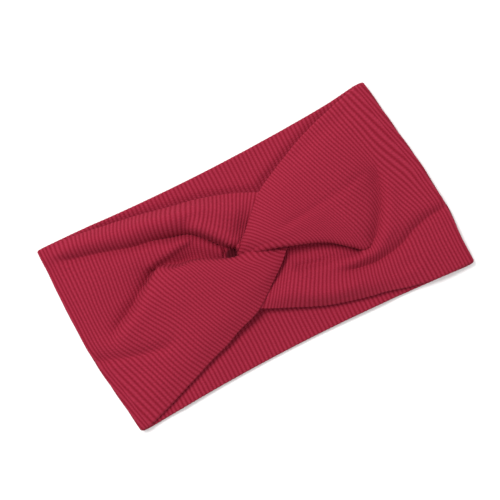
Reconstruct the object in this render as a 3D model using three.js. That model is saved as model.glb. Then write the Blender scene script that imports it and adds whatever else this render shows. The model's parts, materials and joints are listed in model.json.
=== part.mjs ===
// A wide twist headband in rib knit, lying flat: a sewn tube of cloth, its two ends
// folded into interlocked loops and closed by one seam inside the knot.
// Millimetres. X runs along the band, Y across it, Z up. The origin is on the
// surface that the band lies on, under the middle of the band.
import * as THREE from 'three';

// Driving sizes.
const flatLength = 240;        // from one end fold to the other, along the middle
const bandWidth = 138;         // long edge to long edge, at the end folds
const waistWidth = 128;        // long edge to long edge, at the middle of the back
const endLean = 0.07;          // how far the end folds lean: X lost for each mm of +Y
const layerThickness = 1.15;   // one layer of rib knit
const layerGap = 0.3;          // air between the two layers of the tube
const foldClearance = 0.35;    // from the back panel's upper face to the hinge line
const floorClearance = 0.05;   // under the end folds, which the panels hold up
const hingeSpacing = 60;       // between the two hinge lines of the back, or of the knot
const seamWidth = 1.4;         // the tube's lengthwise seam
const pieceGap = 0.4;          // between neighbouring pieces
const lowPassHeight = 8.4;     // underside of the arms that pass under, at the knot
const passThickness = 3.8;     // an arm folded on itself inside the knot
const knotTurnWidth = 14;      // the knot's closing seam, along the band
const seamStackWidth = 7;      // the knot's closing seam, across the band
const threadRadius = 0.45;

// Worked out from the driving sizes.
const tubeThickness = 2 * layerThickness + layerGap;
const hingeHeight = tubeThickness + foldClearance;
const foldRadius = hingeHeight - floorClearance;
const halfLength = flatLength / 2;
const halfWidth = bandWidth / 2;
const foldAxisX = halfLength - foldRadius;
const panelEndX = foldAxisX - foldRadius - pieceGap;
const hingeX = hingeSpacing / 2;
const highPassHeight = lowPassHeight + passThickness + pieceGap;
const wingEndHeight = hingeHeight + foldClearance;
const edgeSteps = 10;

// The two dyed cloth tones and the sewing thread.
const ribKnit = { color: 0x9b2940, roughness: 0.9, metalness: 0 };
const innerKnit = { color: 0x8a2238, roughness: 0.92, metalness: 0 };
const sewingThread = { color: 0x7c1d30, roughness: 0.7, metalness: 0 };

const headband = new THREE.Group();

function addPiece(name, geometry, finish) {
  const mesh = new THREE.Mesh(geometry, new THREE.MeshStandardMaterial(finish));
  mesh.name = name;
  headband.add(mesh);
  return mesh;
}

// A rail is an edge of the cloth seen from above: its Y at any place along the band.
// Places along the band are given as they are on the middle line, Y = 0.
function rail(points) {
  const places = points.map((point) => point[0]);
  const heights = points.map((point) => point[1]);
  const curve = new THREE.CubicInterpolant(places, heights, 1, new Float32Array(1));
  return (place) => curve.evaluate(place)[0];
}

// The outline between two rails, with both ends parallel to the leaning end folds.
function outlineBetween(topRail, bottomRail, startPlace, endPlace) {
  const outline = [];
  for (let step = 0; step <= edgeSteps; step += 1) {
    const place = THREE.MathUtils.lerp(startPlace, endPlace, step / edgeSteps);
    outline.push(new THREE.Vector2(place - endLean * topRail(place), topRail(place)));
  }
  for (let step = edgeSteps; step >= 0; step -= 1) {
    const place = THREE.MathUtils.lerp(startPlace, endPlace, step / edgeSteps);
    outline.push(new THREE.Vector2(place - endLean * bottomRail(place), bottomRail(place)));
  }
  return outline;
}

// A layer of cloth of one thickness, which may climb steadily along the band.
function clothLayer(outline, thickness, baseHeight, climb = 0, climbFrom = 0) {
  const shape = new THREE.Shape(outline);
  const geometry = new THREE.ExtrudeGeometry(shape, { depth: thickness, bevelEnabled: false });
  const slope = new THREE.Matrix4();
  slope.makeShear(0, climb, 0, climb * endLean, 0, 0);
  geometry.applyMatrix4(slope);
  geometry.translate(0, 0, baseHeight - climb * climbFrom);
  return geometry;
}

// Edges of the back panel: full width at the end folds, drawn in at the waist.
function backTopEdge(place) {
  const drawnIn = (bandWidth - waistWidth) / 2;
  return waistWidth / 2 + drawnIn * (place / halfLength) ** 2;
}

function backBottomEdge(place) {
  return -backTopEdge(place);
}

function seamTopEdge() {
  return seamWidth / 2;
}

function seamBottomEdge() {
  return -seamWidth / 2;
}

// Back panel: the outer layer lies on the surface, and the inner layer above it is
// joined along the middle by the tube's lengthwise seam.
function addBackPanel(name, startPlace, endPlace) {
  const innerHeight = layerThickness + layerGap;
  const upperHalfEdge = () => seamWidth / 2 + pieceGap;
  const lowerHalfEdge = () => -seamWidth / 2 - pieceGap;
  const outerOutline = outlineBetween(backTopEdge, backBottomEdge, startPlace, endPlace);
  const upperOutline = outlineBetween(backTopEdge, upperHalfEdge, startPlace, endPlace);
  const lowerOutline = outlineBetween(lowerHalfEdge, backBottomEdge, startPlace, endPlace);
  const seamOutline = outlineBetween(seamTopEdge, seamBottomEdge, startPlace, endPlace);
  addPiece(`${name}_outer_layer`, clothLayer(outerOutline, layerThickness, 0), ribKnit);
  addPiece(`${name}_inner_layer_upper`, clothLayer(upperOutline, layerThickness, innerHeight), innerKnit);
  addPiece(`${name}_inner_layer_lower`, clothLayer(lowerOutline, layerThickness, innerHeight), innerKnit);
  addPiece(`${name}_tube_seam`, clothLayer(seamOutline, layerThickness, innerHeight), sewingThread);
}

// End fold: the tube turned back on itself, a soft roll along the leaning hinge line.
function addEndFold(name, side) {
  const rollLength = bandWidth * Math.hypot(1, endLean);
  const roll = new THREE.CylinderGeometry(foldRadius, foldRadius, rollLength, 20);
  const mesh = addPiece(name, roll, ribKnit);
  mesh.position.set(side * foldAxisX, 0, hingeHeight);
  mesh.rotation.z = Math.atan(endLean);
}

// How far from the middle line each edge of the front is where it meets the knot.
const knotEdges = {
  leftTop: 53,
  leftParting: 14.5,
  leftBottom: -37.5,
  rightTop: 39.5,
  rightParting: -6,
  rightBottom: -51,
};

// Edges of the front, from the end folds to the hinge lines of the knot.
const wingEdges = {
  left: {
    top: rail([
      [-halfLength, halfWidth - 2],
      [-halfLength + 25, halfWidth - 4.5],
      [-halfLength + 54, halfWidth - 8.5],
      [-hingeX, knotEdges.leftTop],
    ]),
    parting: rail([[-halfLength, 2], [-halfLength + 50, 10], [-hingeX, knotEdges.leftParting]]),
    bottom: rail([
      [-halfLength, 1.5 - halfWidth],
      [-halfLength + 21, 7 - halfWidth],
      [-halfLength + 46, 15.5 - halfWidth],
      [-hingeX, knotEdges.leftBottom],
    ]),
  },
  right: {
    top: rail([
      [hingeX, knotEdges.rightTop],
      [halfLength - 67, halfWidth - 18.5],
      [halfLength - 46, halfWidth - 10.5],
      [halfLength - 26, halfWidth - 5],
      [halfLength, halfWidth],
    ]),
    parting: rail([[hingeX, knotEdges.rightParting], [halfLength - 50, -12], [halfLength, -2]]),
    bottom: rail([
      [hingeX, knotEdges.rightBottom],
      [halfLength - 54, 9 - halfWidth],
      [halfLength - 25, 3 - halfWidth],
      [halfLength, 1 - halfWidth],
    ]),
  },
};

// One arm of a wing: two layers of cloth that climb from the end fold to the knot.
function addWingArm(name, side, topRail, bottomRail, knotHeight) {
  const foldPlace = side * panelEndX;
  const knotPlace = side * (hingeX + pieceGap / 2);
  const startPlace = Math.min(foldPlace, knotPlace);
  const endPlace = Math.max(foldPlace, knotPlace);
  const climb = (knotHeight - wingEndHeight) / (knotPlace - foldPlace);
  const outline = outlineBetween(topRail, bottomRail, startPlace, endPlace);
  const outerHeight = wingEndHeight + layerThickness + layerGap;
  const inner = clothLayer(outline, layerThickness, wingEndHeight, climb, foldPlace);
  const outer = clothLayer(outline, layerThickness, outerHeight, climb, foldPlace);
  addPiece(`${name}_inner_layer`, inner, innerKnit);
  addPiece(`${name}_outer_layer`, outer, ribKnit);
}

function addWing(name, side, edges, upperHeight, lowerHeight) {
  const abovePart = (place) => edges.parting(place) + pieceGap / 2;
  const belowPart = (place) => edges.parting(place) - pieceGap / 2;
  addWingArm(`${name}_upper_arm`, side, edges.top, abovePart, upperHeight);
  addWingArm(`${name}_lower_arm`, side, belowPart, edges.bottom, lowerHeight);
}

// Edges inside the knot. Each arm runs on past its hinge line and turns back round
// the arm of the other wing. The lip is where the two upper layers meet.
const knotLip = rail([
  [-hingeX, knotEdges.leftParting],
  [-20, 10.5],
  [-8, 6],
  [0, 4.5],
  [10, 1],
  [20, -2.5],
  [hingeX, knotEdges.rightParting],
]);
const passEdges = {
  leftUpperTop: rail([[-hingeX, knotEdges.leftTop], [-7, 48], [13, 41.5], [24, 36]]),
  leftUpperBottom: rail([[-hingeX, knotEdges.leftParting], [-10, 8.5], [10, 18], [24, 34]]),
  rightUpperTop: rail([[-8, 7.4], [1, 14], [12, 26], [23, 35.5], [hingeX, knotEdges.rightTop]]),
  leftLowerBottom: rail([[-hingeX, knotEdges.leftBottom], [-14, -31.5], [-2, -22.5], [9, -15], [21, -5]]),
  rightLowerTop: rail([[-13, -30], [0, -15], [20, -7], [hingeX, knotEdges.rightParting]]),
  rightLowerBottom: rail([[-13, -32], [-3, -37], [17, -46], [hingeX, knotEdges.rightBottom]]),
};

function addPass(name, topRail, bottomRail, startPlace, endPlace, height) {
  const outline = outlineBetween(topRail, bottomRail, startPlace, endPlace);
  addPiece(name, clothLayer(outline, passThickness, height), ribKnit);
}

function addKnot() {
  const reach = hingeX - pieceGap / 2;
  const aboveLip = (place) => knotLip(place) + pieceGap / 2;
  const belowLip = (place) => knotLip(place) - pieceGap / 2;
  const edges = passEdges;
  addPass('knot_left_upper_pass', edges.leftUpperTop, edges.leftUpperBottom, -reach, 24, lowPassHeight);
  addPass('knot_right_lower_pass', edges.rightLowerTop, edges.rightLowerBottom, -13, reach, lowPassHeight);
  addPass('knot_right_upper_pass', edges.rightUpperTop, aboveLip, -8, reach, highPassHeight);
  addPass('knot_left_lower_pass', belowLip, edges.leftLowerBottom, -reach, 21, highPassHeight);
}

// Closing seam: the raw ends of the tube stacked and overlocked inside the knot.
function addClosingSeam() {
  const stackHeight = passThickness - pieceGap;
  const seamMiddle = lowPassHeight + passThickness / 2;
  const stack = new THREE.BoxGeometry(knotTurnWidth, seamStackWidth, stackHeight);
  addPiece('knot_closing_seam', stack, innerKnit).position.set(0, 0, seamMiddle);
  const thread = new THREE.CylinderGeometry(threadRadius, threadRadius, knotTurnWidth, 8);
  const threadMesh = addPiece('knot_closing_thread', thread, sewingThread);
  threadMesh.rotation.z = Math.PI / 2;
  threadMesh.position.set(0, -seamStackWidth / 2 - pieceGap - threadRadius, seamMiddle);
}

addBackPanel('back_left', -panelEndX, -hingeX - pieceGap / 2);
addBackPanel('back_centre', -hingeX + pieceGap / 2, hingeX - pieceGap / 2);
addBackPanel('back_right', hingeX + pieceGap / 2, panelEndX);
addEndFold('left_end_fold', -1);
addEndFold('right_end_fold', 1);
addWing('left_wing', -1, wingEdges.left, lowPassHeight, highPassHeight);
addWing('right_wing', 1, wingEdges.right, highPassHeight, lowPassHeight);
addKnot();
addClosingSeam();

export default headband;
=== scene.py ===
# %% [markdown]
# # A wide twist headband in rib knit
#
# The real headband is one strip of rib knit, sewn into a flat tube, whose two ends are
# folded, looped through each other and closed by one seam inside the knot. Everything
# that shows is cloth, so this lesson is about cloth: how to hold it on a moving frame,
# how to lay it in folds, and how to give it ribs that are really there.

# %% Load the moving frame
import json
import math

import bmesh
import bpy
import numpy as np
from mathutils import Matrix, Vector


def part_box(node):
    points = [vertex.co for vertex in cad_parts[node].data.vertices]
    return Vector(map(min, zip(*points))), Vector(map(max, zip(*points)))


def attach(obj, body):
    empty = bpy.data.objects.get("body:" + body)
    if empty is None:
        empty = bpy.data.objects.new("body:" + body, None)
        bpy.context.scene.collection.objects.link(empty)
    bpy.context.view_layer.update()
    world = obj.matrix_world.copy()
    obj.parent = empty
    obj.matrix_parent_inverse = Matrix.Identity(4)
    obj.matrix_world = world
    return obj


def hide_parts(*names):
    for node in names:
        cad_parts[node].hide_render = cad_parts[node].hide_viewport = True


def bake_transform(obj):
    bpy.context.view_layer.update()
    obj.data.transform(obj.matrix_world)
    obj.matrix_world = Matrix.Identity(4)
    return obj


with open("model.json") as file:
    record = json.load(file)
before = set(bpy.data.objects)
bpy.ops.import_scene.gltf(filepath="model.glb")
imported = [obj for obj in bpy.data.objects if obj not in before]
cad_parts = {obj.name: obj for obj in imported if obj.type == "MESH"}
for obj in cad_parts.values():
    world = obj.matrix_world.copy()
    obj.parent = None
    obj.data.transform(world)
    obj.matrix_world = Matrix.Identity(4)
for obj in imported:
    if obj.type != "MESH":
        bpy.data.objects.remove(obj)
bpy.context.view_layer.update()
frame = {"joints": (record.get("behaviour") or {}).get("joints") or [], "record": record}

# %% [markdown]
# ## Sizes
# Blender works in metres, and cloth is easier to think about in millimetres, so every
# size below is in millimetres and is turned to metres where a mesh is written. The frame
# gives the places of the hinge lines and the thickness of the back panel. The back's one
# open pivot has no joint of its own, but it lies straight below the knot's right hinge.

# %% Sizes of the cloth, in millimetres
MM = 0.001
joint_at = {joint["name"]: np.array(joint["pos_m"]) / MM for joint in frame["joints"]}
open_pivot_x = joint_at["knot_right_hinge"][0]
hinge_way = np.array(frame["joints"][0]["axis"])
end_lean = abs(hinge_way[0] / hinge_way[1])
back_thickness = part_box("back_centre_inner_layer_upper")[1][2] / MM
half_thickness = back_thickness / 2
floor_clearance = 0.35
lying_height = half_thickness + floor_clearance
rib_spacing = 2.75

# %% [markdown]
# ## Camera
# The band is seen from straight above and lies turned by 27 degrees. It could be turned
# on the floor, but its frame can't be moved, so the camera looks down and is turned the
# other way. A short telephoto lens keeps the far and near faces of the folds nearly the
# same size.

# %% Camera
camera_place = (-0.55, 5.03, 771)
camera_turn = -27
camera_data = bpy.data.cameras.new("camera")
camera_data.lens = 85
camera_data.sensor_width = 36
camera = bpy.data.objects.new("camera", camera_data)
camera.location = [distance * MM for distance in camera_place]
camera.rotation_euler = (0, 0, math.radians(camera_turn))
bpy.context.collection.objects.link(camera)
bpy.context.scene.camera = camera
print("camera", tuple(round(x, 3) for x in camera.location))

# %% [markdown]
# ## A smooth surface from a few ribs
# A fold in cloth can be simulated, or sculpted point by point. Here it has to lie in a
# given place, so a few of its ribs are given one by one: each rib is a row of points from
# one long edge of the band to the other, with its height. A curve that passes through given
# points, first along the ribs and then from rib to rib, turns those rows into a smooth
# surface.

# %% Curves through given points
def through(knots, values, at):
    """Smooth values at the places in at, passing through values at the knots."""
    knots = np.asarray(knots, float)
    values = np.asarray(values, float)
    gaps = np.diff(knots)
    steps = np.diff(values, axis=0) / gaps.reshape(-1, *[1] * (values.ndim - 1))
    slopes = np.concatenate([steps[:1], (steps[1:] + steps[:-1]) / 2, steps[-1:]])
    at = np.asarray(at, float)
    span = np.clip(np.searchsorted(knots, at, side="right") - 1, 0, len(knots) - 2)
    width = gaps[span]
    t = (at - knots[span]) / width
    shape = (-1, *[1] * (values.ndim - 1))
    t, width = t.reshape(shape), width.reshape(shape)
    inside = np.clip(t, 0, 1)
    start, end = values[span], values[span + 1]
    leave, arrive = slopes[span] * width, slopes[span + 1] * width
    smooth = (
        start * (2 * inside**3 - 3 * inside**2 + 1)
        + leave * (inside**3 - 2 * inside**2 + inside)
        + end * (3 * inside**2 - 2 * inside**3)
        + arrive * (inside**3 - inside**2)
    )
    before = np.minimum(t, 0) * leave
    after = np.maximum(t - 1, 0) * arrive
    return smooth + before + after


def mean_spacing(points, axis):
    """Knots along one direction of a net of points, from its average distances."""
    lengths = np.linalg.norm(np.diff(points, axis=axis), axis=2)
    return np.concatenate([[0], np.cumsum(lengths.mean(axis=1 - axis))])


# %% [markdown]
# ## Where to put the rows and columns
# The ribs of the real knit stand up and show in its outline. Bump in a material would
# leave the outline smooth, so they are real geometry, and each needs several rows of
# points. The long edges are soft folds of the tube, and the back has a seam along its
# middle, so the columns crowd together there to make both round.

# %% Rows and columns
rows_per_rib = 7
end_tuck = 1.3
tuck_steps = np.array([1.0, 0.92, 0.7, 0.38, 0.12])
edge_round = half_thickness
edge_steps = np.array([0.0, 0.04, 0.16, 0.36, 0.62, 1.0])
seam_width = 0.9
seam_steps = np.array([-1.6, -1, -0.6, -0.3, 0, 0.3, 0.6, 1, 1.6])


def rib_rows(start, end):
    """Places of the rows along the cloth, with a rounded tuck beyond each end."""
    ribs = (end - start) / rib_spacing
    middle = np.linspace(start, end, round(ribs * rows_per_rib) + 1)
    beyond = end_tuck * tuck_steps
    return np.concatenate([start - beyond, middle, end + beyond[::-1]])


def edge_columns(width, spacing, has_seam):
    """Places of the columns across the cloth, closer at both long edges and at a seam."""
    near = edge_round * edge_steps
    count = max(2, round((width - 2 * edge_round) / spacing))
    middle = np.linspace(edge_round, width - edge_round, count + 1)[1:-1]
    if has_seam:
        middle = middle[np.abs(middle - width / 2) > 2 * seam_width]
        middle = np.sort(np.concatenate([middle, width / 2 + seam_width * seam_steps]))
    return np.concatenate([near, middle, width - near[::-1]])


def round_off(distance, radius):
    """How much of the full thickness the cloth has at a distance from its edge."""
    share = np.clip(distance / radius, 0, 1)
    return np.sqrt(1 - (1 - share) ** 2)


def wander(a, b):
    """Slow unevenness between -1 and 1, the same in every run.

    It adds up waves whose lengths have no simple ratio, so it doesn't seem to repeat.
    """
    slow = np.sin(a * 0.071 + 1.3 * np.sin(b * 0.043)) + np.sin(b * 0.083 + a * 0.031 + 2.1)
    quick = np.sin(a * 0.23 + b * 0.11 + 0.7) + np.sin(b * 0.31 - a * 0.17)
    return 0.35 * slow + 0.15 * quick


# %% [markdown]
# ## Creases
# The rows of points give the large folds. A crease is finer: a line over the cloth where
# it dips, or rises if its depth is negative. It could be cut in with more rows, but then
# every rib would need them, so it is pressed in afterwards. Cloth rarely dips evenly: one
# flank is steep and the other slopes gently, so a crease has a width for each side. It
# also fades over a distance at each end.

# %% Dips and ridges along a line
shortest_fade = 0.1


def crease_depth(surface, line, depth, upper_width, lower_width, fades):
    """How far the cloth dips at each point for one line, drawn from left to right."""
    line = np.asarray(line, float)
    place = surface[..., :2]
    legs = np.linalg.norm(np.diff(line, axis=0), axis=1)
    travelled = np.concatenate([[0], np.cumsum(legs)])
    nearest = np.full(place.shape[:2], np.inf)
    progress = np.zeros(place.shape[:2])
    width = np.zeros(place.shape[:2])
    for start, end, leg, before in zip(line[:-1], line[1:], legs, travelled):
        way = (end - start) / leg
        offset = place - start
        along = np.clip(offset @ way, 0, leg)
        distance = np.linalg.norm(offset - along[..., None] * way, axis=2)
        is_above = way[0] * offset[..., 1] - way[1] * offset[..., 0] > 0
        closer = distance < nearest
        nearest = np.where(closer, distance, nearest)
        progress = np.where(closer, before + along, progress)
        width = np.where(closer, np.where(is_above, upper_width, lower_width), width)
    strength = np.ones(place.shape[:2])
    for travel, fade in zip((progress, travelled[-1] - progress), fades):
        share = np.clip(travel / max(fade, shortest_fade), 0, 1)
        strength *= share * share * (3 - 2 * share)
    return depth * strength * np.exp(-((nearest / width) ** 2))


# %% Press the creases in
deepest_crease = 2.5
# Painted shade: where a crease dips more than 3.2 mm the colour there is darkened, fully so 3 mm
# deeper.
painted_shade_from = 3.2
painted_shade_range = 3


def press_creases(surface, columns, across_knots, creases, crease_above, deepest):
    """Lowers the surface along each crease, and returns a painted shade for each point, from 0
    where creases are shallow to 1 where one dips deepest.

    Each crease reaches from one point of the ribs to another. Cloth no higher than
    crease_above keeps its place, and no crease presses the cloth below deepest.
    """
    pinch = np.zeros(surface.shape[:2])
    for line, depth, upper_width, lower_width, fades, (first, last) in creases:
        part = (columns >= across_knots[first]) & (columns <= across_knots[last])
        dip = crease_depth(surface, line, depth, upper_width, lower_width, fades) * part
        pinch = np.maximum(pinch, np.clip((dip - painted_shade_from) / painted_shade_range, 0, 1))
        height = surface[..., 2]
        lift = np.clip((height - crease_above) / half_thickness, 0, 1)
        surface[..., 2] = np.maximum(height - dip * lift, np.minimum(height, deepest))
    return pinch


# %% [markdown]
# ## One piece of tube cloth
# The tube has two layers, which touch all over and turn into each other at the long
# edges. A Solidify modifier would turn each ridge of one layer into a valley of the
# other, so here each layer is a flat grid from the grid operator. The points of the two
# grids move to either side of the given surface, with the ribs added, and the two
# layers close on each other all round, where the doubles are merged.

# %% The two layers as one closed mesh
def tube_mesh(name, rows, columns, top, under, **point_values):
    """One closed mesh from two layers of points, with a map of the cloth as it was cut."""
    builder = bmesh.new()
    for _ in range(2):
        bmesh.ops.create_grid(
            builder, x_segments=len(rows) - 1, y_segments=len(columns) - 1, size=1
        )
    mesh = bpy.data.meshes.new(name)
    builder.to_mesh(mesh)
    builder.free()

    flat = np.empty(len(mesh.vertices) * 3)
    mesh.vertices.foreach_get("co", flat)
    flat = flat.reshape(-1, 3)
    row = np.rint((flat[:, 0] + 1) / 2 * (len(rows) - 1)).astype(int)
    column = np.rint((flat[:, 1] + 1) / 2 * (len(columns) - 1)).astype(int)
    is_under = np.arange(len(flat)) >= len(flat) // 2
    placed = np.where(is_under[:, None], under[row, column], top[row, column])
    mesh.vertices.foreach_set("co", (placed * MM).ravel())

    # The map of the under layer is moved on, so that it doesn't lie on the top one's.
    corner = np.empty(len(mesh.loops), int)
    mesh.loops.foreach_get("vertex_index", corner)
    lengthwise = np.where(is_under, rows[row] + 2 * rows[-1], rows[row])
    cloth_map = np.stack([lengthwise, columns[column]], axis=1)[corner] * MM
    mesh.uv_layers.new(name="cloth").data.foreach_set("uv", cloth_map.ravel())
    for key, value in point_values.items():
        attribute = mesh.attributes.new(key, "FLOAT", "POINT")
        attribute.data.foreach_set("value", value[row, column].astype(np.float32))

    builder = bmesh.new()
    builder.from_mesh(mesh)
    bmesh.ops.remove_doubles(builder, verts=builder.verts, dist=1e-6)
    bmesh.ops.recalc_face_normals(builder, faces=builder.faces)
    # On a shell as thin and flat as this, the operator can take the inside for the
    # outside. The volume is then below zero, and every face is turned round.
    if builder.calc_volume(signed=True) < 0:
        bmesh.ops.reverse_faces(builder, faces=builder.faces)
    volume = builder.calc_volume(signed=True) / MM**3
    open_edges = sum(not edge.is_manifold for edge in builder.edges)
    builder.to_mesh(mesh)
    builder.free()
    mesh.shade_smooth()
    print(f"{name}: {len(mesh.polygons)} faces, {open_edges} open edges, "
          f"{columns[-1]:.0f} by {rows[-1] - rows[0]:.0f} mm, {volume:.0f} mm3")
    return mesh


# %% Lay a piece of cloth
rib_height = 0.3
rib_sharpness = 1.2
rib_wander = 0.2
layer_unevenness = 0.16
edge_scallop = 0.12
seam_depth = 0.75
seam_path = {}


def lay_cloth(name, net, start, end, slide, column_spacing=1.3, creases=(),
              crease_above=0.0, deepest=0.0, rib_share=1.0, has_seam=False):
    """A closed two-layer piece through a net of points, ribs by points by XYZ.

    start and end are places along the tube, and slide is how far the ribs have slid from
    the rows at each point. The top layer is the one that faces up, or out at an end fold,
    and a seam is a groove along its middle.
    """
    net = np.asarray(net, float)
    along_knots = mean_spacing(net, 0)
    along_knots = start + along_knots * (end - start) / along_knots[-1]
    across_knots = mean_spacing(net, 1)
    if callable(slide):
        slide = slide(net, along_knots)
    net = np.concatenate([net, slide[..., None]], axis=2)
    rows = rib_rows(start, end)
    columns = edge_columns(across_knots[-1], column_spacing, has_seam)
    surface = through(along_knots, net, rows)
    surface = through(across_knots, surface.transpose(1, 0, 2), columns).transpose(1, 0, 2)
    surface, slide = surface[..., :3], surface[..., 3]
    # The deepest creases also give a painted shade, which the material reads as a point value.
    pinch = press_creases(surface, columns, across_knots, creases, crease_above, deepest)

    along = np.gradient(surface, axis=0)
    across_way = np.gradient(surface, axis=1)
    normal = np.cross(across_way, along)
    normal /= np.linalg.norm(normal, axis=2, keepdims=True)
    outward = across_way / np.linalg.norm(across_way, axis=2, keepdims=True)

    row_grid, column_grid = np.meshgrid(rows, columns, indexing="ij")
    to_end = np.minimum(row_grid - rows[0], rows[-1] - row_grid)
    to_side = np.minimum(column_grid, columns[-1] - column_grid)
    fullness = round_off(to_end, end_tuck) * round_off(to_side, edge_round)
    phase = row_grid - slide + rib_wander * wander(row_grid * 1.7, column_grid * 2.3)
    rib = np.abs(np.sin(math.pi * phase / rib_spacing)) ** rib_sharpness
    relief = rib_share * rib_height * (rib - 0.5) * fullness
    uneven = layer_unevenness * wander(row_grid + 40, column_grid) * fullness
    thickness = half_thickness * fullness + relief
    side = np.where(column_grid < columns[-1] / 2, -1.0, 1.0)
    scallop = edge_scallop * rib * (1 - fullness) * round_off(to_end, end_tuck) * side
    surface = surface + outward * scallop[..., None]
    top = surface + normal * (thickness + uneven)[..., None]
    under = surface - normal * (thickness - uneven)[..., None]
    if has_seam:
        from_seam = (column_grid - columns[-1] / 2) / (0.5 * seam_width)
        top -= normal * (seam_depth * fullness * np.exp(-(from_seam**2)))[..., None]
        seam_path[name] = top[:, len(columns) // 2]

    mesh = tube_mesh(name, rows, columns, top, under, ridge=rib, pinch=pinch)
    cloth = bpy.data.objects.new(name, mesh)
    bpy.context.collection.objects.link(cloth)
    cloth["flat_length"] = (end - start) * MM
    return cloth


# %% [markdown]
# ## The two ends of the band
# At each end the tube turns back on itself. A straight edge would be simpler, but the real
# fold line isn't straight: the cloth swells outward in the middle and is drawn in where a
# crease runs out over it. The wings and the back panel both start from this line, so it is
# laid first.

# %% End fold lines
fold_inset = 6.5
left_fold_line = np.array(
    [[-124.6, 67.5], [-124.6, 61], [-124.7, 50], [-125.0, 34], [-124.9, 12], [-124.6, 2],
     [-124.4, -6], [-122.6, -24], [-119.6, -46], [-116.8, -68.5]]
)
right_fold_line = np.array(
    [[126.2, -68.5], [126.0, -50], [127.0, -29], [126.2, -22], [125.4, -13], [124.8, -6],
     [124.0, 4], [120.4, 28], [117.4, 49], [114.6, 69.5]]
)
print("end folds", left_fold_line[:, 0].min(), right_fold_line[:, 0].max(), "mm")

# %% [markdown]
# ## The left wing
# The wing is full width at the fold and is gathered towards the knot. Its upper arm
# lies low and passes under the other wing; its lower arm rides high and passes over.
# Between them the cloth makes a deep pocket under a rolled lip. A mesh made of both arms
# apart would show a join in the pocket, so the wing is one net: each row below is one
# rib, from the top edge through the valley, the pocket and the lip to the bottom edge.

# %% Ribs of the left wing
left_wing_ribs = [
    [[-118.1, 67.0, 4.4], [-118.1, 61, 5.2], [-118.2, 53, 4.3], [-118.5, 34, 4.8],
     [-118.4, 12, 4.8], [-118.1, 2, 5.0], [-117.9, -6, 5.0], [-116.1, -24, 4.5],
     [-113.1, -46, 4.8], [-110.3, -67.5, 4.4]],
    [[-100, 65, 4.5], [-100.6, 60, 7.4], [-101.5, 51.5, 4.6], [-102.5, 34, 6.2],
     [-104.5, 14, 5.4], [-104.5, 1, 5.0], [-104, -9, 6.8], [-101, -28, 6.0], [-97, -47, 6.6],
     [-94, -62, 4.5]],
    [[-80, 62, 4.8], [-82, 56, 9.2], [-83.5, 47, 5.2], [-84.5, 34, 7.2], [-87, 15, 5.4],
     [-87.6, 5.6, 5.0], [-85.4, -2.6, 9.0], [-80, -24, 8.4], [-76, -42, 7.8], [-72, -54, 4.8]],
    [[-62, 59, 4.6], [-64.5, 52.5, 11.2], [-66.5, 42.5, 5.6], [-67.5, 33, 8.8],
     [-70.2, 17.4, 4.8], [-71, 12.4, 8.4], [-68.6, 5, 11.8], [-62, -16, 11.2], [-57, -35, 9.8],
     [-52, -46.5, 5.6]],
    [[-50, 56.7, 4.6], [-52.5, 50.5, 12.4], [-54.5, 40.5, 5.6], [-55.5, 32.5, 9.6],
     [-57, 21.8, 4.4], [-59.4, 19, 9.6], [-57.5, 10.5, 13.0], [-51, -14.5, 12.4],
     [-46, -31, 10.8], [-41, -43, 6.4]],
    [[-38, 54, 4.7], [-41, 47.5, 13.2], [-44, 37, 5.4], [-45, 30, 9.6], [-46.4, 18.6, 4.2],
     [-49.6, 16, 11.2], [-47.5, 13, 14.2], [-41, -13, 13.4], [-36, -28, 11.8], [-31, -38.5, 7.4]],
    [[-16, 49.5, 5.0], [-19, 43, 13.2], [-27, 31.5, 5.2], [-30.5, 26, 7.0], [-33.6, 15, 4.2],
     [-34, 13.4, 12.2], [-31.6, 8.5, 15.0], [-23.5, -12, 14.8], [-18.5, -22.5, 13.2],
     [-13.5, -32.3, 9.4]],
    [[6, 43, 5.6], [0, 32, 13.0], [-11.5, 15, 4.9], [-13.5, 10, 4.3], [-14.5, 3, 4.3],
     [-12, 4.6, 12.0], [-9.5, 0, 14.8], [-3, -8, 15.2], [1, -14.5, 14.2], [5, -18.5, 11.4]],
    [[17, 38, 6.6], [11, 30, 9.8], [2, 18, 6.6], [-4, 10, 4.8], [-4, 2, 4.6], [4, 3.6, 9.0],
     [5, -1.5, 11.8], [8.5, -6.5, 12.6], [11.5, -9.6, 12.2], [14, -11.5, 11.0]],
    [[27, 33, 9.0], [20, 25, 9.0], [12, 16, 7.4], [5, 9, 6.4], [6, 1, 6.0], [16, 0.5, 6.2],
     [17, -0.5, 6.4], [18.5, -2, 6.8], [20, -3, 7.2], [21.8, -4.4, 7.6]],
]

# %% Creases of the left wing
roll_valley = [[-118, 57], [-105, 52], [-90, 48.5], [-70, 42], [-60, 39.5], [-50, 38], [-40, 35],
               [-30, 32], [-25, 28.5], [-20, 23], [-15, 16], [-11, 8]]
roll_brow = [[-118, 61], [-105, 56], [-90, 52.5], [-70, 46.5], [-50, 42.5], [-40, 39.5],
             [-30, 36.5], [-22.5, 31.5], [-16.5, 25], [-11, 17.5], [-6.5, 11]]
hole_brow = [[-33, 37.5], [-25, 32.5], [-18.5, 26], [-13.5, 20], [-9, 14.5], [-4, 9]]
hole_dip = [[-19, 11.5], [-14, 8.5], [-8, 6]]
pocket_brow = [[-70, 24], [-60, 26.5], [-50, 27], [-40, 28.5], [-28, 29]]
lip_crease = [[-112, -8], [-100, -1.5], [-90, 3.5], [-80, 9.5], [-70, 16.2], [-60, 23]]
lip_brow = [[-106, -9.5], [-94, -3.5], [-84, 1.5], [-74, 8], [-64, 14.5]]
arm_dip = [[-127, -12], [-112, -18], [-95, -23.5], [-78, -27], [-62, -24]]
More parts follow.
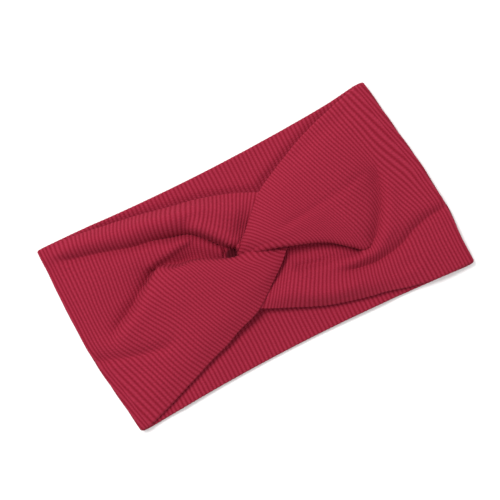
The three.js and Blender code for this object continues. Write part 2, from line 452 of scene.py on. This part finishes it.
# Each crease: its line, depth, upper and lower widths, fades, and the points it reaches.
crease_over_left_fold = (arm_dip, 2.2, 5.0, 2.6, (9, 20), (5, 9))
left_wing_creases = [
    (roll_valley, 1.8, 4.0, 2.8, (12, 0), (0, 4)),
    (roll_brow, -2.5, 6.0, 2.8, (14, 3), (0, 3)),
    (hole_brow, -6.2, 7.0, 2.2, (12, 2), (0, 4)),
    (hole_dip, 9.0, 4.8, 4.2, (7, 1), (2, 5)),
    (pocket_brow, -1.9, 3.5, 1.6, (10, 8), (2, 5)),
    (lip_crease, 2.8, 4.2, 1.8, (18, 3), (0, 9)),
    (lip_brow, -1.8, 2.0, 7.0, (12, 8), (4, 9)),
    crease_over_left_fold,
]
print(len(left_wing_ribs), "ribs and", len(left_wing_creases), "creases in the left wing")

# %% Left wing
fold_half_ribs = 3
wing_ribs_across = 54
wing_start = fold_half_ribs * rib_spacing
wing_end = wing_start + wing_ribs_across * rib_spacing


def slid_ribs(fold_line, most, by_rib, by_point):
    """How far the ribs have slid: at the fold by its own line, then as listed, in shares."""
    at_fold = np.abs(fold_line[:, 0] - fold_line[0, 0])
    rest = most * np.outer(by_rib, by_point)
    return np.concatenate([at_fold[None], rest])


left_slide = slid_ribs(left_fold_line, most=11,
                       by_rib=[1, 1, 0.96, 0.92, 0.8, 0.5, 0.15, 0, 0],
                       by_point=[0, 0, 0, 0, 0, 0.03, 0.14, 0.68, 0.91, 1])
left_wing = lay_cloth("left_wing_cloth", left_wing_ribs, wing_start, wing_end, left_slide,
                      creases=left_wing_creases, deepest=deepest_crease)

# %% [markdown]
# ## The right wing
# The right wing is the left one turned half round, apart from its own creases: one runs
# from the lower arm out over the end fold, and the lip ends in a soft bend where the
# ribs change direction. A turned copy would lose those, so it has rows of its own. They
# run from the bottom edge to the top edge, and its ribs are pulled a little flatter.

# %% Ribs of the right wing
right_wing_ribs = [
    [[119.7, -67.5, 4.4], [119.5, -50, 5.0], [120.5, -29, 4.3], [119.7, -22, 5.6],
     [118.9, -13, 5.4], [118.3, -6, 5.0], [117.5, 4, 4.8], [113.9, 28, 4.8], [110.9, 49, 4.8],
     [108.1, 68.5, 4.4]],
    [[103, -67, 4.5], [102.5, -49, 6.2], [103, -31.5, 5.0], [103, -22, 7.4], [101.5, -12, 6.8],
     [100.5, -2, 6.2], [99.5, 8, 6.0], [97.5, 28, 6.8], [95, 48, 6.0], [92, 64.5, 4.5]],
    [[84.5, -64, 4.8], [84.5, -50, 7.8], [86, -36.5, 5.8], [87, -27, 8.8], [87.5, -17, 8.2],
     [89, -7, 5.6], [89.5, 5, 5.2], [84, 24, 8.8], [77.5, 44, 8.2], [74, 59.5, 4.9]],
    [[64, -58.5, 4.7], [65, -48.5, 10.0], [68, -38.5, 6.4], [70.5, -32.5, 9.6],
     [72.5, -28, 7.8], [74.5, -22, 8.4], [74.5, -10, 10.4], [66, 16, 11.8], [59, 38, 10.2],
     [55, 52.5, 5.6]],
    [[56, -57, 4.7], [57.5, -47.5, 11.2], [61, -37.5, 7.0], [64, -31.5, 10.0], [66, -27.2, 5.0],
     [67.6, -27.4, 8.6], [66.5, -14, 13.0], [58, 14, 13.2], [51, 35, 11.4], [46.5, 48.5, 6.2]],
    [[46, -54.5, 4.8], [48, -46, 12.2], [52, -36, 8.0], [55, -30, 10.2], [58, -22, 4.3],
     [60.5, -22.2, 11.2], [58, -10, 14.2], [49, 13, 14.2], [42.5, 32, 12.4], [38, 44.5, 7.0]],
    [[26, -48.5, 5.2], [29, -41, 13.0], [35, -30, 9.6], [40, -22, 8.4], [44, -11, 4.2],
     [46.5, -12, 12.6], [43, -2, 15.4], [34, 13, 15.2], [27, 26, 13.4], [22, 36, 9.4]],
    [[4, -39, 6.0], [10.5, -30, 12.6], [19.5, -16, 8.0], [23.5, -9, 4.4], [26, -2, 4.3],
     [27.5, -4.4, 13.0], [24, 2, 15.4], [18, 9.5, 15.2], [12, 17, 13.8], [7, 22, 11.0]],
    [[-7, -34, 7.0], [-1, -27, 9.8], [7, -16, 7.8], [13, -7, 5.0], [14, 1, 4.8], [8, 1.6, 12.0],
     [6, 5.5, 13.4], [3, 9, 13.4], [0, 11.5, 12.8], [-2, 12.5, 11.2]],
    [[-17, -29, 9.0], [-10, -22, 9.0], [-2, -13, 7.6], [5, -5, 6.4], [5, 2, 6.0],
     [-5, 2.5, 7.6], [-6, 3.5, 7.8], [-7, 4.6, 8.0], [-7.8, 5.6, 8.2], [-8.6, 6.6, 8.4]],
]

# %% Creases of the right wing
arm_valley = [[42, -34.5], [58, -37.5], [70, -39], [82, -38], [90, -36], [100, -31.5],
              [112, -28.5], [130, -27]]
under_lip_valley = [[16, -17], [24, -19.5], [35, -22.5], [45, -24.5], [56, -27], [65, -28.5]]
bend_crease = [[70, -28], [80, -21], [86, -13], [91, -3], [95, 8], [97, 20]]
bend_brow = [[76, -30], [86, -22], [92, -12], [97, -2], [100, 10]]
edge_dip = [[48, -45], [75, -49], [100, -51]]
cross_dip = [[18, 8], [45, 10], [72, 12.5], [92, 17]]
top_dip = [[42, 42], [70, 51], [104, 58]]
crease_over_right_fold = (arm_valley, 1.7, 3.5, 2.0, (14, 10), (0, 4))
right_wing_creases = [
    crease_over_right_fold,
    (under_lip_valley, 3.0, 3.4, 2.8, (8, 3), (1, 4)),
    (bend_crease, 1.8, 5.0, 1.6, (6, 12), (3, 9)),
    (bend_brow, -0.9, 1.8, 5.0, (8, 12), (3, 9)),
    (edge_dip, 1.3, 5.0, 4.0, (14, 14), (0, 4)),
    (cross_dip, 0.9, 3.0, 2.0, (14, 14), (5, 9)),
    (top_dip, 0.9, 3.5, 6.0, (14, 14), (5, 9)),
]
print(len(right_wing_ribs), "ribs and", len(right_wing_creases), "creases in the right wing")

# %% Right wing
right_slide = slid_ribs(right_fold_line, most=17,
                        by_rib=[1, 0.9, 0.78, 0.7, 0.55, 0.25, 0.05, 0, 0],
                        by_point=[0, 0.02, 0, 0.04, 0.18, 0.36, 0.54, 0.82, 0.95, 1])
right_wing = lay_cloth("right_wing_cloth", right_wing_ribs, wing_start, wing_end, right_slide,
                       creases=right_wing_creases, deepest=deepest_crease, rib_share=0.8)

# %% [markdown]
# ## The back panel
# The back lies flat under everything. It is drawn in at the waist, its ends follow the
# same lines as the end folds, and the seam that closes the tube runs along its middle.
# Its ribs stand up less than those of the wings. One piece can bend at only one pivot, so
# it is two. They meet on a hinge line in the valley between two ribs, where the join
# doesn't show.

# %% Rows of the back panel
points_across = 10
waist_half_width = 63.9
end_flare = 5.2
half_length = 120


def back_edge(x):
    """Half the width of the back panel at a place along the band."""
    return waist_half_width + end_flare * (x / half_length) ** 2


def back_rib(x):
    """One row of the flat back panel, leaning as the hinge lines do."""
    reach = np.linspace(1, -1, points_across)
    y = reach * back_edge(x)
    return np.stack([x - end_lean * y, y, np.full(points_across, lying_height)], axis=1)


def inset_line(fold_line, side):
    """The row that lies just inside an end fold, on the back panel."""
    points = fold_line if fold_line[0, 1] > 0 else fold_line[::-1]
    y = np.linspace(points[0, 1], points[-1, 1], len(points))
    x = through(-points[:, 1], points[:, 0], -y) - side * fold_inset
    return np.stack([x, y, np.full(len(points), lying_height)], axis=1)


left_back_ribs = [inset_line(left_fold_line, -1)]
left_back_ribs += [back_rib(x) for x in (-90, -60, -30, 0, open_pivot_x)]
right_back_ribs = [back_rib(x) for x in (open_pivot_x, 60, 90)]
right_back_ribs += [inset_line(right_fold_line, 1)]
print("back panel", 2 * waist_half_width, "mm wide at the waist")

# %% Upright ribs and swells of the back panel
left_back_end = left_fold_line[0, 0] + fold_inset
right_back_end = right_fold_line[0, 0] - fold_inset
back_ribs_across = round((right_back_end - left_back_end) / rib_spacing)
back_stretch = back_ribs_across * rib_spacing / (right_back_end - left_back_end)


def upright_left(net, along):
    """The slide that stands the back's ribs upright, counted from the left end."""
    return along[:, None] - wing_start - (net[..., 0] - left_back_end) * back_stretch


def upright_right(net, along):
    """The same, counted from the right end."""
    return along[:, None] + wing_start + (right_back_end - net[..., 0]) * back_stretch


upper_swell = [[-98, 69], [-70, 64.5], [-40, 59], [-10, 53], [10, 46.5], [21, 42], [34, 48],
               [52, 56], [72, 63.5], [92, 69]]
lower_swell = [[-98, -68], [-70, -58.5], [-50, -51.5], [-30, -43.5], [-12, -37.5], [2, -43.5],
               [20, -51], [40, -58], [72, -66]]
back_creases = [
    (upper_swell, -1.0, 8.0, 1.6, (14, 14), (0, 9)),
    (lower_swell, -0.9, 1.8, 8.0, (14, 14), (0, 9)),
]
print(back_ribs_across, "ribs along the back panel, stretched by", round(back_stretch, 3))

# %% Back panel
left_back_ribs_across = 54
right_back_ribs_across = back_ribs_across - left_back_ribs_across
left_back_stop = wing_start + left_back_ribs_across * rib_spacing
right_back_stop = wing_start + right_back_ribs_across * rib_spacing
back_finish = {"column_spacing": 2.0, "creases": back_creases, "rib_share": 0.62,
               "has_seam": True}
back_left = lay_cloth("back_left_cloth", left_back_ribs, wing_start, left_back_stop,
                      upright_left, **back_finish)
back_right = lay_cloth("back_right_cloth", right_back_ribs, wing_start, right_back_stop,
                       upright_right, **back_finish)

# %% [markdown]
# ## The end folds
# Each fold is a half turn of cloth that joins the back panel to the wing. It could be part
# of either, but it bends over a joint of its own, so it is a narrow piece of its own. It
# starts and ends in rib valleys, so it reads as one cloth with them. The crease that runs
# out over it is left off the part that lies on the back panel.

# %% End folds
turn_reach = 1.6
turn_angles = np.radians([-90, -60, -30, 0, 30, 60, 90])
fold_crease_above = lying_height + 0.8


def fold_ribs(fold_line, wing_rib, side):
    """The rows of a half turn, from the back panel round to the wing."""
    centre_x = fold_line[:, 0] - side * (turn_reach + half_thickness)
    low = np.full(len(fold_line), lying_height)
    high = wing_rib[:, 2]
    back_y = fold_line[:, 1]
    front_y = wing_rib[:, 1]
    rows = [np.stack([fold_line[:, 0] - side * fold_inset, back_y, low], axis=1)]
    for angle in turn_angles:
        share = (math.sin(angle) + 1) / 2
        x = centre_x + side * turn_reach * math.cos(angle)
        y = back_y + share * (front_y - back_y)
        rows.append(np.stack([x, y, low + share * (high - low)], axis=1))
    return rows + [wing_rib]


def lay_fold(name, rows, slide, crease):
    """An end fold, whose ribs have slid as those at the end of its wing."""
    slide = np.tile(slide[0], (len(rows), 1))
    return lay_cloth(name, rows, -wing_start, wing_start, slide, creases=[crease],
                     crease_above=fold_crease_above)


left_fold_rows = fold_ribs(left_fold_line, np.array(left_wing_ribs[0]), -1)
right_fold_rows = fold_ribs(right_fold_line, np.array(right_wing_ribs[0]), 1)
left_fold = lay_fold("left_end_fold_cloth", left_fold_rows, left_slide, crease_over_left_fold)
right_fold = lay_fold("right_end_fold_cloth", right_fold_rows, right_slide,
                      crease_over_right_fold)

# %% [markdown]
# ## Seams and stitches
# One seam closes the tube along the middle of the back's inner face, and one seam inside
# the knot closes the loop. Stitches could be drawn in the material, but thread stands up
# from the cloth. They repeat many times, so each is only a small long bead of thread,
# placed by a matrix: its place, its turn and its size.

# %% One piece, one stitch
def piece_from(name, builder):
    """Turns a finished bmesh into an object of its own."""
    mesh = bpy.data.meshes.new(name)
    builder.to_mesh(mesh)
    builder.free()
    mesh.shade_smooth()
    piece = bpy.data.objects.new(name, mesh)
    bpy.context.collection.objects.link(piece)
    print(f"{name}: {len(mesh.polygons)} faces")
    return piece


def add_stitch(builder, place, turn, length, radius):
    """One stitch: a bead of thread, turned flat on the cloth by an angle."""
    size = Matrix.Diagonal((length / 2 * MM, radius * MM, radius * MM, 1))
    placed = Matrix.Translation(Vector(place) * MM) @ Matrix.Rotation(turn, 4, "Z") @ size
    bmesh.ops.create_uvsphere(builder, u_segments=8, v_segments=6, radius=1, matrix=placed)


# %% Stitches along the tube seam
seam_stitch_spacing = 2.2
seam_stitch_length = 2.5
seam_stitch_radius = 0.24
seam_stitch_turn = math.radians(28)
seam_stitch_rise = 0.22
seam_end_gap = 2


def stitch_seam(name, path):
    """A zigzag of stitches that lies in the groove of a tube seam."""
    builder = bmesh.new()
    legs = np.linalg.norm(np.diff(path, axis=0), axis=1)
    travelled = np.concatenate([[0], np.cumsum(legs)])
    room = travelled[-1] - 2 * seam_end_gap
    for count in range(int(room / seam_stitch_spacing)):
        at = seam_end_gap + count * seam_stitch_spacing
        place = [np.interp(at, travelled, path[:, axis]) for axis in range(3)]
        place[2] += seam_stitch_rise
        turn = seam_stitch_turn if count % 2 else -seam_stitch_turn
        add_stitch(builder, place, turn, seam_stitch_length, seam_stitch_radius)
    return piece_from(name, builder)


left_seam_stitches = stitch_seam("tube_seam_stitches_left", seam_path["back_left_cloth"])
right_seam_stitches = stitch_seam("tube_seam_stitches_right", seam_path["back_right_cloth"])


# %% Closing seam inside the knot
cut_layers = 4
cut_layer_shift = 0.35
cut_layer_fill = 0.98
cut_edge_round = 0.3


def seam_allowance(name, node):
    """The cut edges of the band's two ends, pressed together inside the knot."""
    low, high = (np.array(corner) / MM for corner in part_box(node))
    centre = (low + high) / 2
    size = high - low
    layer_height = size[2] / cut_layers
    builder = bmesh.new()
    for layer in range(cut_layers):
        shift = cut_layer_shift if layer % 2 else -cut_layer_shift
        place = (centre[0], centre[1] + shift, low[2] + (layer + 0.5) * layer_height)
        stretch = Matrix.Diagonal((size[0] * MM, (size[1] - 2 * cut_layer_shift) * MM,
                                   cut_layer_fill * layer_height * MM, 1))
        placed = Matrix.Translation(Vector(place) * MM) @ stretch
        bmesh.ops.create_cube(builder, size=1, matrix=placed)
    bmesh.ops.bevel(builder, geom=builder.edges[:], affect="EDGES",
                    offset=cut_edge_round * MM, segments=3, profile=0.5, material=-1)
    return piece_from(name, builder)


knot_seam = seam_allowance("knot_seam_allowance", "knot_closing_seam")

# %% Closing stitches inside the knot
lock_stitch_spacing = 2.3
lock_stitch_length = 2.1
lock_stitch_radius = 0.3


def closing_stitches(name, node):
    """A straight row of lock stitches on the face of the seam allowance."""
    low, high = (np.array(corner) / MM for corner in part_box(node))
    builder = bmesh.new()
    count = int((high[0] - low[0]) / lock_stitch_spacing)
    middle = (low + high) / 2
    for index in range(count):
        x = middle[0] + (index - (count - 1) / 2) * lock_stitch_spacing
        place = (x, middle[1], middle[2])
        add_stitch(builder, place, 0, lock_stitch_length, lock_stitch_radius)
    return piece_from(name, builder)


knot_thread = closing_stitches("knot_closing_stitches", "knot_closing_thread")

# %% [markdown]
# ## Rib knit
# Combed cotton rib with a little elastane, dyed crimson. Spun yarn gives it a matt
# surface with a soft sheen at grazing angles, and the valleys between the ribs look
# deeper in colour because light bounces from side to side inside them. That light is
# painted: the valleys get a darker painted shade and the ridges a lighter, pinker painted
# highlight, and the deepest creases and the gaps between stitches get painted shade too.
# An image texture would blur close up, so the colour follows the ribs of the mesh, and
# the rest is noise and waves on the map of the cloth, which goes round every fold with it.

# %% Colour and node helpers
def to_linear(hex_colour):
    """A hex colour as drawn on screen, turned to the linear values that shaders use."""
    channels = [int(hex_colour[i:i + 2], 16) / 255 for i in (1, 3, 5)]
    return [c / 12.92 if c <= 0.04045 else ((c + 0.055) / 1.055) ** 2.4 for c in channels] + [1]


def add_node(tree, kind, settings=None, **links):
    """Adds a node, sets its properties, and links or sets the named or numbered inputs."""
    node = tree.nodes.new(kind)
    for key, value in (settings or {}).items():
        setattr(node, key, value)
    for key, value in links.items():
        is_number = key[1:].isdigit()
        socket = node.inputs[int(key[1:]) if is_number else key.replace("_", " ")]
        if isinstance(value, bpy.types.NodeSocket):
            tree.links.new(value, socket)
        else:
            socket.default_value = value
    return node


# %% Rib knit material
# Flecks of the spun yarn are about 1.1 mm long, which is 0.9 of them in each mm.
flecks_per_mm = 0.9
yarn_relief = 0.3
# Each rib is a column of V-shaped stitches. A real one is about 0.9 mm tall, which is too
# fine to show, so it is drawn 1.5 mm tall.
stitch_height = 1.5


def rib_knit(name, ridge_highlight_colour, valley_shade_colour):
    """Matt ribs with painted shade in the valleys and painted highlight on the ridges, V-shaped
    stitches, flecks and a little sheen.
    """
    material = bpy.data.materials.new(name)
    material.use_nodes = True
    tree = material.node_tree
    shader = tree.nodes["Principled BSDF"]
    shader.inputs["Roughness"].default_value = 0.9
    shader.inputs["Specular IOR Level"].default_value = 0.1
    shader.inputs["Sheen Weight"].default_value = 0.04
    shader.inputs["Sheen Tint"].default_value = to_linear("#E8788C")
    shader.inputs["Sheen Roughness"].default_value = 0.5
    ridge = add_node(tree, "ShaderNodeAttribute", {"attribute_name": "ridge"})
    shade = add_node(tree, "ShaderNodeMapRange", Value=ridge.outputs["Fac"],
                     From_Min=0.25, From_Max=0.95)
    # Painted shade and highlight: across each rib the colour runs from the valley shade to the
    # ridge highlight.
    colour = add_node(tree, "ShaderNodeMix", {"data_type": "RGBA"}, _0=shade.outputs[0],
                      _6=to_linear(valley_shade_colour), _7=to_linear(ridge_highlight_colour))
    cloth_map = add_node(tree, "ShaderNodeUVMap", {"uv_map": "cloth"})
    melange = add_node(tree, "ShaderNodeTexNoise", Vector=cloth_map.outputs[0],
                       Scale=flecks_per_mm / MM, Detail=3.0)
    fleck = add_node(tree, "ShaderNodeMapRange", Value=melange.outputs[0],
                     From_Min=0.3, From_Max=0.7, To_Min=0.88, To_Max=1.1)

    # The V comes from bending the rows of stitches by how far a point is from the ridge
    # of its rib.
    place = add_node(tree, "ShaderNodeSeparateXYZ", _0=cloth_map.outputs[0])
    course = add_node(tree, "ShaderNodeMath", {"operation": "MULTIPLY"},
                      _0=place.outputs[1], _1=2 * math.pi / (stitch_height * MM))
    bent = add_node(tree, "ShaderNodeMath", {"operation": "MULTIPLY_ADD"},
                    _0=ridge.outputs["Fac"], _1=math.pi, _2=course.outputs[0])
    wave = add_node(tree, "ShaderNodeMath", {"operation": "SINE"}, _0=bent.outputs[0])
    stitch = add_node(tree, "ShaderNodeMapRange", Value=wave.outputs[0],
                      From_Min=-1.0, From_Max=1.0)
    # Painted shade in the gaps between the stitches: the colour there is up to 7% darker.
    stitch_gap_shade = add_node(tree, "ShaderNodeMapRange", Value=stitch.outputs[0],
                   From_Min=0.0, From_Max=0.6, To_Min=0.93, To_Max=1.01)
    both = add_node(tree, "ShaderNodeMath", {"operation": "MULTIPLY"},
                    _0=fleck.outputs[0], _1=stitch_gap_shade.outputs[0])

    # Painted shade: in the deepest creases, as in the knot's pocket, the colour darkens to 0.3.
    pinch = add_node(tree, "ShaderNodeAttribute", {"attribute_name": "pinch"})
    closed = add_node(tree, "ShaderNodeMapRange", Value=pinch.outputs["Fac"],
                      To_Min=1.0, To_Max=0.3)
    all_three = add_node(tree, "ShaderNodeMath", {"operation": "MULTIPLY"},
                         _0=both.outputs[0], _1=closed.outputs[0])
    tinted = add_node(tree, "ShaderNodeVectorMath", {"operation": "SCALE"},
                      _0=colour.outputs[2], Scale=all_three.outputs[0])
    tree.links.new(tinted.outputs[0], shader.inputs["Base Color"])
    loops = add_node(tree, "ShaderNodeBump", Strength=0.3, Distance=yarn_relief * MM,
                     Height=stitch.outputs[0])
    bump = add_node(tree, "ShaderNodeBump", Strength=0.35, Distance=yarn_relief * MM,
                    Height=melange.outputs[0], Normal=loops.outputs[0])
    tree.links.new(bump.outputs[0], shader.inputs["Normal"])
    return material


# Both colours are the same crimson yarn: the ridge one is a painted highlight, the valley one a
# painted shade.
knit = rib_knit("rib_knit_crimson", ridge_highlight_colour="#902439", valley_shade_colour="#7A1326")
for cloth in (left_wing, right_wing, back_left, back_right, left_fold, right_fold):
    cloth.data.materials.append(knit)
print("material", knit.name)

# %% [markdown]
# ## Inner face and thread
# The inside of the knit is the same yarn seen from behind: flatter, fuzzier and darker.
# The thread is spun polyester dyed to match, a little smoother and deeper in colour than
# the cloth. Both are hardly seen, so one colour broken up by a fine grain is enough.

# %% Inner face and thread materials
grain_relief = 0.1


def soft_yarn(name, colour, roughness, grain_size, grain_share):
    """Plain yarn or brushed cloth: one colour broken up by a fine grain."""
    material = bpy.data.materials.new(name)
    material.use_nodes = True
    tree = material.node_tree
    shader = tree.nodes["Principled BSDF"]
    shader.inputs["Roughness"].default_value = roughness
    shader.inputs["Specular IOR Level"].default_value = 0.2
    place = add_node(tree, "ShaderNodeTexCoord")
    grain = add_node(tree, "ShaderNodeTexNoise", Vector=place.outputs["Object"],
                     Scale=1 / (grain_size * MM), Detail=2.0)
    shade = add_node(tree, "ShaderNodeMapRange", Value=grain.outputs[0], From_Min=0.3,
                     From_Max=0.7, To_Min=1 - grain_share, To_Max=1 + grain_share)
    tinted = add_node(tree, "ShaderNodeVectorMath", {"operation": "SCALE"},
                      _0=to_linear(colour)[:3], Scale=shade.outputs[0])
    tree.links.new(tinted.outputs[0], shader.inputs["Base Color"])
    bump = add_node(tree, "ShaderNodeBump", Strength=0.4, Distance=grain_relief * MM,
                    Height=grain.outputs[0])
    tree.links.new(bump.outputs[0], shader.inputs["Normal"])
    return material


inner_face = soft_yarn("knit_inner_face_crimson", "#7C1A2E", roughness=0.95,
                       grain_size=0.8, grain_share=0.12)
knot_seam.data.materials.append(inner_face)
thread = soft_yarn("spun_thread_crimson", "#741529", roughness=0.65,
                   grain_size=0.25, grain_share=0.1)
for stitches in (left_seam_stitches, right_seam_stitches, knot_thread):
    stitches.data.materials.append(thread)
print("materials", inner_face.name, thread.name)

# %% [markdown]
# ## Ties to the frame
# Each piece hides the solids of the frame that it stands for. The pieces of the back's right
# half and of the knot hang from an empty for the body they move with. Every sheet is a
# length of the same tube, so all have one width.


def tie(nodes):
    """Hides the solids of the frame that a sheet stands for."""
    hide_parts(*nodes)


body_nodes = frame["record"]["behaviour"]["bodies"]
knot_left_nodes = [n for n in body_nodes["knot"] if "left" in n]
knot_right_nodes = [n for n in body_nodes["knot"] if "right" in n]
back_left_nodes = [n for n in body_nodes["back_left"] + body_nodes["back_centre"] if "layer" in n]
back_right_nodes = [n for n in body_nodes["back_right"] if "layer" in n]
tie(body_nodes["front_left"] + knot_left_nodes)
tie(body_nodes["front_right"] + knot_right_nodes)
tie(back_left_nodes)
tie(back_right_nodes)
tie(["left_end_fold"])
tie(["right_end_fold"])


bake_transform(left_wing)
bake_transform(right_wing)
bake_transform(back_left)
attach(back_right, "back_right")
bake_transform(left_fold)
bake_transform(right_fold)

# %% Ties of the seams and stitches
for stitches, nodes in ((left_seam_stitches, ["back_left_tube_seam", "back_centre_tube_seam"]),
                        (right_seam_stitches, ["back_right_tube_seam"]),
                        (knot_thread, ["knot_closing_thread"])):
    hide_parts(*nodes)
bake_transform(left_seam_stitches)
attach(right_seam_stitches, "back_right")
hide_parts("knot_closing_seam")
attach(knot_seam, "knot")
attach(knot_thread, "knot")

# %% [markdown]
# ## Floor and light
# A plain pale sweep and soft studio light. Light from all round would flatten the folds,
# so the key light is large and comes from the top edge side of the band, and each fold
# has one bright and one dark flank.

# %% Floor
floor_reach = 4
floor_drop = 0.4
floor_builder = bmesh.new()
bmesh.ops.create_grid(floor_builder, x_segments=1, y_segments=1, size=floor_reach)
floor_mesh = bpy.data.meshes.new("floor")
floor_builder.to_mesh(floor_mesh)
floor_builder.free()
floor = bpy.data.objects.new("floor", floor_mesh)
bpy.context.collection.objects.link(floor)
floor.data.transform(Matrix.Translation((0, 0, -floor_drop * MM)))
# Matt paper: an even off-white with no gloss.
paper = bpy.data.materials.new("matt_paper")
paper.use_nodes = True
paper_shader = paper.node_tree.nodes["Principled BSDF"]
paper_shader.inputs["Base Color"].default_value = to_linear("#F4F4F4")
paper_shader.inputs["Roughness"].default_value = 0.9
floor.data.materials.append(paper)
print("floor", floor_drop, "mm below the band's own zero")


# %% Lights and world
def area_light(name, place, aim, size, power):
    """A round soft light that faces a point."""
    data = bpy.data.lights.new(name, "AREA")
    data.shape = "DISK"
    data.size = size
    data.energy = power
    lamp = bpy.data.objects.new(name, data)
    bpy.context.collection.objects.link(lamp)
    lamp.location = place
    direction = Vector(aim) - Vector(place)
    lamp.rotation_euler = direction.to_track_quat("-Z", "Y").to_euler()


area_light("key", place=(-0.35, 0.9, 1.3), aim=(0, 0, 0), size=0.8, power=22)
world = bpy.data.worlds.new("studio")
world.use_nodes = True
sky = world.node_tree.nodes["Background"]
sky.inputs["Color"].default_value = (1, 1, 1, 1)
sky.inputs["Strength"].default_value = 0.9
bpy.context.scene.world = world
bpy.context.scene.view_settings.view_transform = "Standard"
print("world light", round(sky.inputs["Strength"].default_value, 2))
